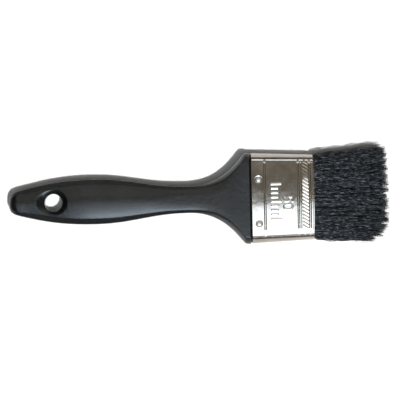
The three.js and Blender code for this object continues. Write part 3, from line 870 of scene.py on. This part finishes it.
def gathered(random, face):
    """Centre lines of a layer's strands, as strands by points by xyz, and their depths in the layer.

    Strands gather into tufts as they leave the ferrule, and the tufts lean towards larger locks at the tips.
    """
    across = random.uniform(-1, 1, STRANDS_PER_LAYER)
    depth = 1 - random.uniform(0, 1, STRANDS_PER_LAYER) ** 1.7
    tuft_across = np.linspace(-1, 1, TUFTS_PER_LAYER) + random.normal(0, 0.01, TUFTS_PER_LAYER)
    tuft_depth = 1 - random.uniform(0, 1, TUFTS_PER_LAYER) ** 1.5
    away_across = (across[:, None] - tuft_across[None]) * MOUTH_HALF_WIDTH
    away_depth = (depth[:, None] - tuft_depth[None]) * LAYER_THICKNESS
    tuft = np.argmin(away_across**2 + away_depth**2, axis=1)
    tuft_across, tuft_depth = np.clip(tuft_across[tuft], -1, 1), tuft_depth[tuft]

    lock_middles = np.linspace(-0.97, 0.97, LOCKS_PER_LAYER)
    lock_middles[1:-1] += random.normal(0, 0.018, LOCKS_PER_LAYER - 2)
    lock = np.argmin(np.abs(tuft_across[:, None] - lock_middles[None]), axis=1)
    tip_across = mix(tuft_across, lock_middles[lock], 0.3)
    off_middle = np.abs(tip_across - lock_middles[lock]) * LOCKS_PER_LAYER
    reach = tip_line(tip_across) - 0.6 * off_middle + random.normal(0, 0.5, STRANDS_PER_LAYER)
    reach += random.normal(0, 0.4, LOCKS_PER_LAYER)[lock] + random.normal(0, 0.7, TUFTS_PER_LAYER)[tuft]
    short = random.uniform(0, 1, STRANDS_PER_LAYER) < 0.25
    reach -= short * random.uniform(0.5, 6.0, STRANDS_PER_LAYER)
    reach = np.minimum(reach, BRISTLES_OUT + 1.2)

    waves = np.array(WAVE_SIZES)[:, None]
    count = len(WAVE_SIZES)
    tuft_sway = random.normal(0, 1, (2, count, TUFTS_PER_LAYER))[:, :, tuft] * waves
    own_sway = random.normal(0, 0.8, (2, count, STRANDS_PER_LAYER)) * waves
    sway_y, sway_z = tuft_sway * [[[1.0]], [[0.8]]] + own_sway
    tightness = random.uniform(0.5, 0.85, TUFTS_PER_LAYER)[tuft]
    rounding = np.sqrt(np.clip(1 - np.abs(across) ** 9, 0, 1))
    columns = []
    for x, half_width, inner, outer in zip(ROOTS, ROOT_HALF_WIDTHS, ROOT_INNER, ROOT_OUTER):
        y = across * half_width
        z = mix(inner, inner + (outer - inner) * rounding, depth)
        columns.append(np.stack([np.full_like(y, x), y, face * z], 1))
    for share in FREE_SHARES:
        fan = share**1.15
        right = mix(MOUTH_HALF_WIDTH, RIGHT_TIP_HALF_WIDTH, fan)
        left = mix(MOUTH_HALF_WIDTH, LEFT_TIP_HALF_WIDTH, fan)
        apart = 1 - tightness * smooth(share, 0.0, 0.3)
        middle = mix(tuft_across, tip_across, smooth(share, 0.15, 1.0))
        place_across = middle + (across - tuft_across) * apart
        y = np.where(place_across > 0, right, left) * place_across
        outer = mix(MOUTH_OUTER, TIP_OUTER, smooth(share, 0.1, 1.0))
        inner = mix(MOUTH_INNER, 0.0, share)
        place_depth = tuft_depth + (depth - tuft_depth) * apart
        z = mix(inner, outer * mix(1, rounding, 0.8), place_depth)
        bend = np.array([share**2, *(math.sin(k * math.pi * share) for k in WAVE_COUNTS)])
        y = y + bend @ sway_y
        z = z + bend @ sway_z
        columns.append(np.stack([MOUTH + reach * share, y, face * z], 1))
    return np.stack(columns, 1), depth


def strand_radii(random, count):
    """Radius at each point of a strand: even, then tapering to a fine flagged tip."""
    thick = random.uniform(0.09, 0.18, count)
    shares = np.array([0.0] * len(ROOTS) + list(FREE_SHARES))
    taper = 1 - 0.25 * shares**2 - 0.55 * shares**12
    return thick[:, None] * taper[None]


def make_bristles(name, face, seed, material):
    """One layer of the bristles as a mesh of closed strands, each with its own tone, painted a little darker
    the deeper it lies.
    """
    random = np.random.default_rng(seed)
    paths, depth = gathered(random, face)
    strands, steps = paths.shape[:2]
    radii = strand_radii(random, strands)
    spin = random.uniform(0, math.tau, strands)
    angles = spin[:, None] + np.arange(STRAND_SIDES) * math.tau / STRAND_SIDES
    ring_y = np.cos(angles)[:, None, :] * radii[:, :, None]
    ring_z = np.sin(angles)[:, None, :] * radii[:, :, None]
    points = np.repeat(paths[:, :, None, :], STRAND_SIDES, axis=2)
    points[..., 1] += ring_y
    points[..., 2] += ring_z
    per_strand = steps * STRAND_SIDES
    one = [f[::-1] for f in grid_faces(steps, STRAND_SIDES)]
    one.append(tuple(range(STRAND_SIDES - 1, -1, -1)))
    one.append(tuple(range(per_strand - STRAND_SIDES, per_strand)))
    faces = [tuple(i + s * per_strand for i in f) for s in range(strands) for f in one]
    obj = new_mesh(name, points.reshape(-1, 3), faces, material)
    # A random tone for each strand, plus painted shade: strands deeper in the layer come out a little darker.
    shade = np.clip(random.beta(1.6, 3.0, strands) + 0.1 * depth, 0, 1)
    attribute = obj.data.attributes.new("strand_tone_and_depth_shade", "FLOAT", "POINT")
    attribute.data.foreach_set("value", np.repeat(shade, per_strand).astype(np.float32))
    return obj


# ---------- the brush ----------


def build_brush():
    plastic, sheet, nail = black_plastic(), tinplate(), nail_steel()
    bristle = black_bristle()

    handle = make_handle(plastic)
    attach(handle, ROOT_BODY)
    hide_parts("handle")

    ferrule = make_ferrule(sheet)
    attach(ferrule, ROOT_BODY)
    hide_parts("ferrule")

    nails = {
        "nail_top_right": (NAIL_SIDES[0], 1),
        "nail_top_left": (NAIL_SIDES[1], 1),
        "nail_under_right": (-NAIL_SIDES[0], -1),
        "nail_under_left": (-NAIL_SIDES[1], -1),
    }
    for node, (side, face) in nails.items():
        piece = make_nail("domed_" + node, side, face, nail)
        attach(piece, ROOT_BODY)
        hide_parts(node)

    for node, material in (("setting_resin", amber_resin()), ("spacer_plug", plug_wood())):
        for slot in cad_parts[node].material_slots:
            slot.link = "OBJECT"
            slot.material = material

    for layer, face, seed in (("front", 1, 11), ("back", -1, 12)):
        piece = make_bristles("bristles_" + layer, face, seed, bristle)
        locks = [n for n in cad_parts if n.startswith("bristle_lock_" + layer)]
        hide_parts("bristle_heel_" + layer, *locks)
        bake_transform(piece)


# ---------- table, lights and camera ----------


# In metres and degrees. The view's centre is in the brush's own millimetres.
TABLE_HALF = 6
PANELS_X = 0.25
CAMERA_DISTANCE, VIEW_WIDTH, CAMERA_TURN = 0.9, 0.2395, -1.3
VIEW_CENTRE = (-30.8, -0.3, 0)


def add_table():
    half = TABLE_HALF
    corners = [(-half, -half, 0), (half, -half, 0), (half, half, 0), (-half, half, 0)]
    mesh = bpy.data.meshes.new("table")
    mesh.from_pydata(corners, [], [(0, 1, 2, 3)])
    mesh.materials.append(white_table())
    table = bpy.data.objects.new("table", mesh)
    bpy.context.scene.collection.objects.link(table)


def add_panel(name, lean_degrees, distance, width, height, radiance, colour, shades=True):
    """A flat light panel facing the brush. It leans from straight above towards -y, seen from the brush.

    A panel that doesn't shade is only mirrored: it lights nothing by itself.
    """
    data = bpy.data.lights.new(name, "AREA")
    data.shape = "RECTANGLE"
    data.size, data.size_y = width, height
    data.energy = 4 * width * height * radiance
    data.color = colour
    light = bpy.data.objects.new(name, data)
    lean = math.radians(lean_degrees)
    light.location = (PANELS_X, -distance * math.sin(lean), distance * math.cos(lean))
    light.rotation_euler = Euler((lean, 0, 0))
    light.visible_diffuse = shades
    bpy.context.scene.collection.objects.link(light)


def add_sun(name, towards, strength, spread_degrees, colour):
    """A distant lamp in the direction towards, as seen from the brush."""
    data = bpy.data.lights.new(name, "SUN")
    data.energy = strength
    data.angle = math.radians(spread_degrees)
    data.color = colour
    light = bpy.data.objects.new(name, data)
    light.rotation_euler = (-Vector(towards)).to_track_quat("-Z", "Y").to_euler()
    light.visible_glossy = False
    bpy.context.scene.collection.objects.link(light)


def add_lights():
    add_sun("key", (0.24, -0.285, 1), 3.5, 4, (1.0, 0.99, 0.97))
    add_panel("overhead", 10.9, 2.0, 1.8, 0.66, 1.65, (0.85, 0.97, 1.1))
    add_panel("slope", 29, 2.0, 1.5, 0.66, 2.8, (0.82, 0.97, 1.12), False)
    add_panel("window", 48.5, 1.75, 1.3, 0.7, 5.4, (0.82, 0.97, 1.12), False)
    add_panel("fill", -42, 1.5, 2.0, 1.9, 0.5, (1.0, 1.02, 0.95), False)


def add_world():
    """Dim surroundings, warmest high up, for the brush to mirror. The camera itself sees a pale backdrop."""
    world = bpy.data.worlds.new("studio")
    world.use_nodes = True
    nodes, links = world.node_tree.nodes, world.node_tree.links
    direction = nodes.new("ShaderNodeTexCoord").outputs["Generated"]
    height = nodes.new("ShaderNodeSeparateXYZ")
    links.new(direction, height.inputs["Vector"])
    ramp = nodes.new("ShaderNodeValToRGB")
    stops = (
        (0.0, (0.05, 0.05, 0.045)),
        (0.12, (0.1, 0.1, 0.095)),
        (0.4, (0.05, 0.05, 0.045)),
        (0.6, (0.05, 0.05, 0.045)),
        (0.85, (0.13, 0.12, 0.1)),
        (0.97, (0.29, 0.25, 0.19)),
        (1.0, (0.12, 0.11, 0.095)),
    )
    while len(ramp.color_ramp.elements) < len(stops):
        ramp.color_ramp.elements.new(0.5)
    for element, (position, colour) in zip(ramp.color_ramp.elements, stops):
        element.position = position
        element.color = (*colour, 1)
    links.new(height.outputs["Z"], ramp.inputs["Fac"])
    links.new(ramp.outputs["Color"], nodes["Background"].inputs["Color"])
    backdrop = nodes.new("ShaderNodeBackground")
    backdrop.inputs["Color"].default_value = (0.95, 0.95, 0.95, 1)
    seen = nodes.new("ShaderNodeMixShader")
    links.new(nodes.new("ShaderNodeLightPath").outputs["Is Camera Ray"], seen.inputs["Fac"])
    links.new(nodes["Background"].outputs["Background"], seen.inputs[1])
    links.new(backdrop.outputs["Background"], seen.inputs[2])
    links.new(seen.outputs["Shader"], nodes["World Output"].inputs["Surface"])
    bpy.context.scene.world = world


def add_camera():
    """Straight above the brush, turned a little so that its bristles point up to the right."""
    centre = place(VIEW_CENTRE)
    data = bpy.data.cameras.new("camera")
    data.sensor_width = 36
    data.lens = data.sensor_width * CAMERA_DISTANCE / VIEW_WIDTH
    camera = bpy.data.objects.new("camera", data)
    camera.location = (centre[0], centre[1], centre[2] + CAMERA_DISTANCE)
    camera.rotation_euler = Euler((0, 0, math.radians(CAMERA_TURN)))
    bpy.context.scene.collection.objects.link(camera)
    bpy.context.scene.camera = camera


add_camera()
build_brush()
add_table()
add_lights()
add_world()
bpy.context.scene.view_settings.view_transform = "Standard"
